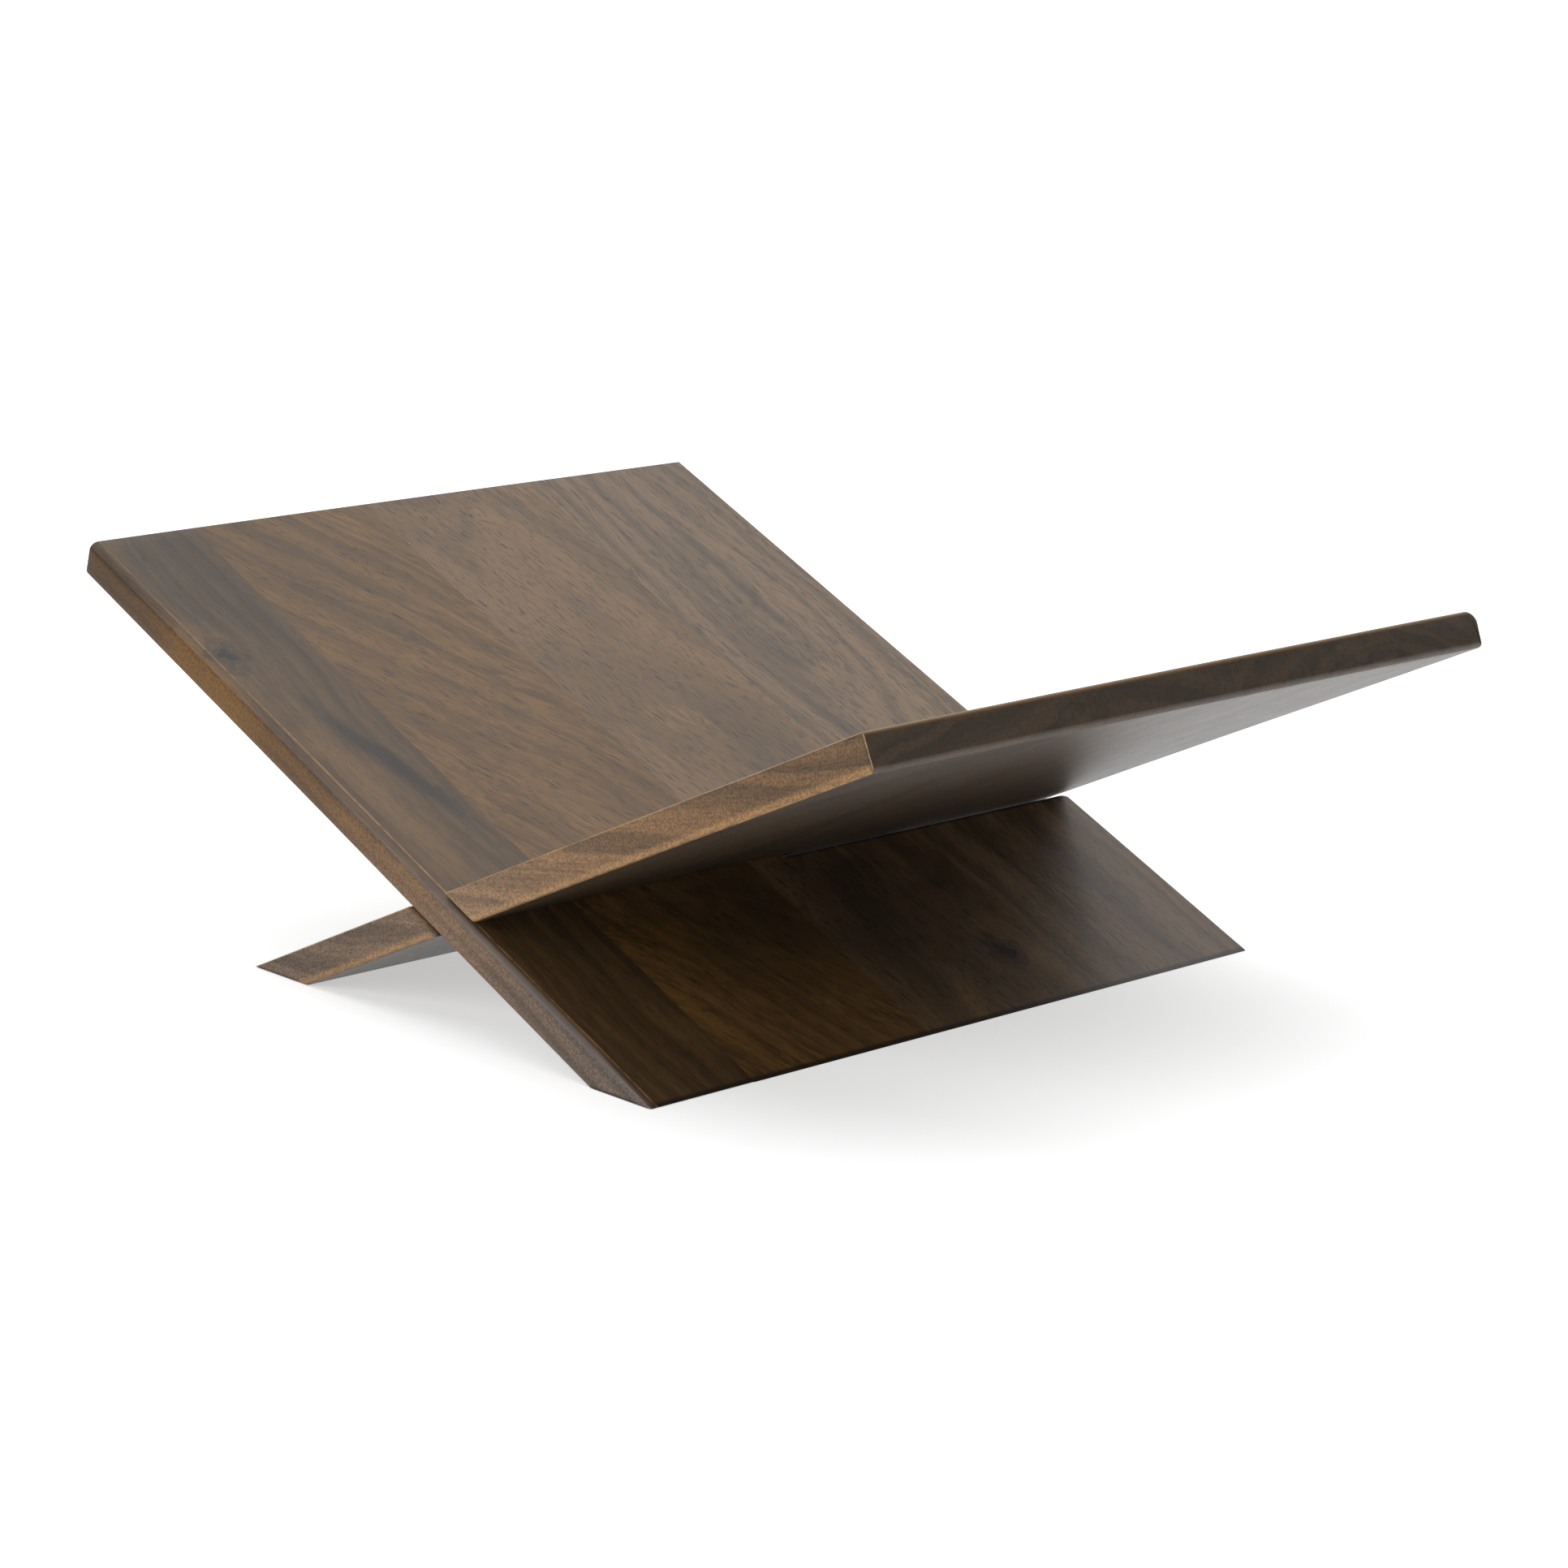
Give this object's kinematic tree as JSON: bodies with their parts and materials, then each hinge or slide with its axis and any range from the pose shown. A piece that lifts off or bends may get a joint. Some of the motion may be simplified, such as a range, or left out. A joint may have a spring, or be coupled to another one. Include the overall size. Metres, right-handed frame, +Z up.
{
  "type": "photo album stand",
  "caption": "Knock-down wooden stand for an open photo album: two slotted boards cross in a low X, stand on level-cut feet and make a shallow V cradle.",
  "frame": {"origin": "on the surface the stand stands on, under the middle of the crossing", "axes": "+X along the stand, from the left board's upper leaf towards the right board's; +Y across the boards, the way the right board slides out; +Z up"},
  "size_m": [0.4554, 0.305, 0.1515],
  "materials": {
    "left_edge_wood": "satin",
    "left_inner_wood": "satin",
    "left_notched_wood": "satin",
    "left_outer_wood": "satin",
    "right_edge_wood": "satin",
    "right_inner_wood": "satin",
    "right_notched_wood": "satin",
    "right_outer_wood": "satin"
  },
  "bodies": {
    "left_board": {"left_edge_stave": "left_edge_wood", "left_inner_stave": "left_inner_wood", "left_notched_stave": "left_notched_wood", "left_upper_stave": "left_outer_wood", "left_lower_stave": "left_outer_wood"},
    "right_board": {"right_edge_stave": "right_edge_wood", "right_inner_stave": "right_inner_wood", "right_notched_stave": "right_notched_wood", "right_upper_stave": "right_outer_wood", "right_lower_stave": "right_outer_wood"}
  },
  "joints": [
    {"name": "right_board_slide", "type": "slide", "parent": "left_board", "child": "right_board", "axis": [0, 1, 0], "range_m": [0, 0.32]}
  ]
}
